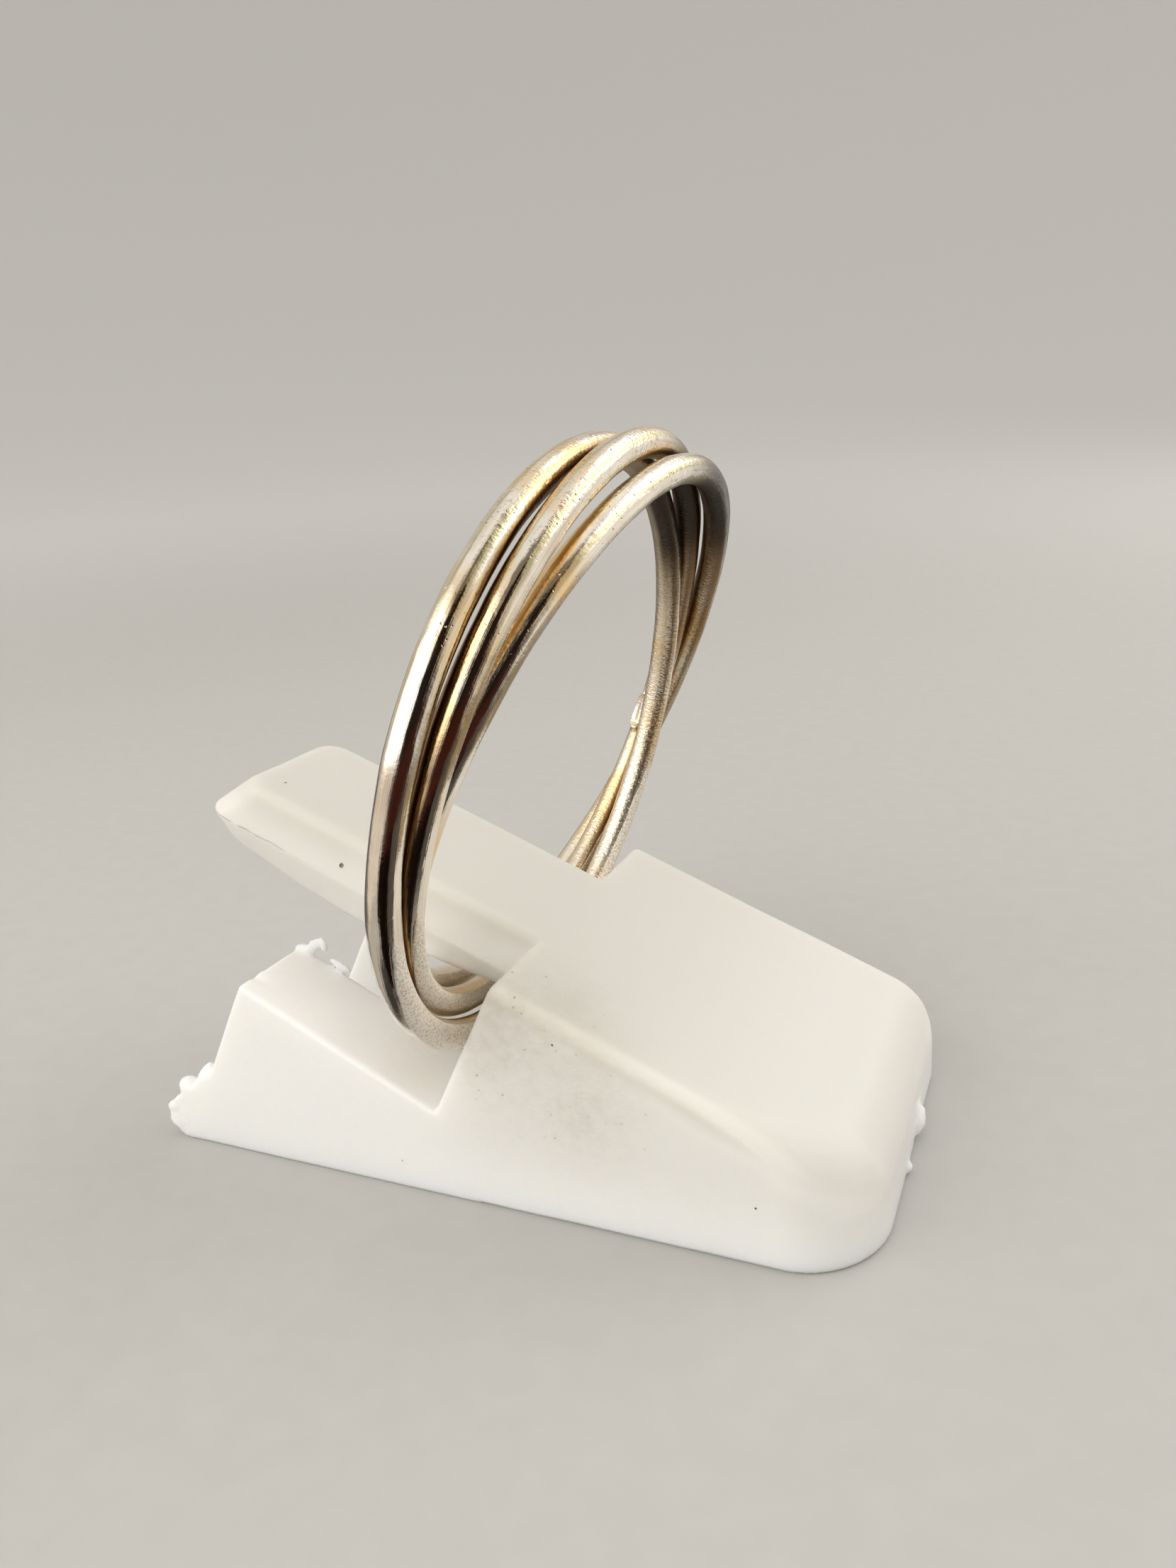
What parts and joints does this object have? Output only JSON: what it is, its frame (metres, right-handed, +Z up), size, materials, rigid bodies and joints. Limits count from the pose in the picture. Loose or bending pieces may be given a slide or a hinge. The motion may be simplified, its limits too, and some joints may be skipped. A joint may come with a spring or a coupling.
{
  "type": "three-in-one ring on a display stand",
  "caption": "Finger ring of interlocking round-wire silver bands, looped over the tongue of a small white moulded wedge stand.",
  "frame": {"origin": "on the stand's underside, midway along its length and on its middle line", "axes": "+X along the stand towards its low end, +Y towards the back, +Z up from the underside"},
  "size_m": [0.0263, 0.0232, 0.0239],
  "materials": {
    "silver": "polished silver round wire, finely scratched, with warm tarnish where the bands meet",
    "white_plastic": "satin white moulded plastic with small specks and grey scuffs"
  },
  "bodies": {
    "root": {"band_front": "silver", "band_middle": "silver", "band_back": "silver", "display_stand": "white_plastic"}
  },
  "joints": []
}
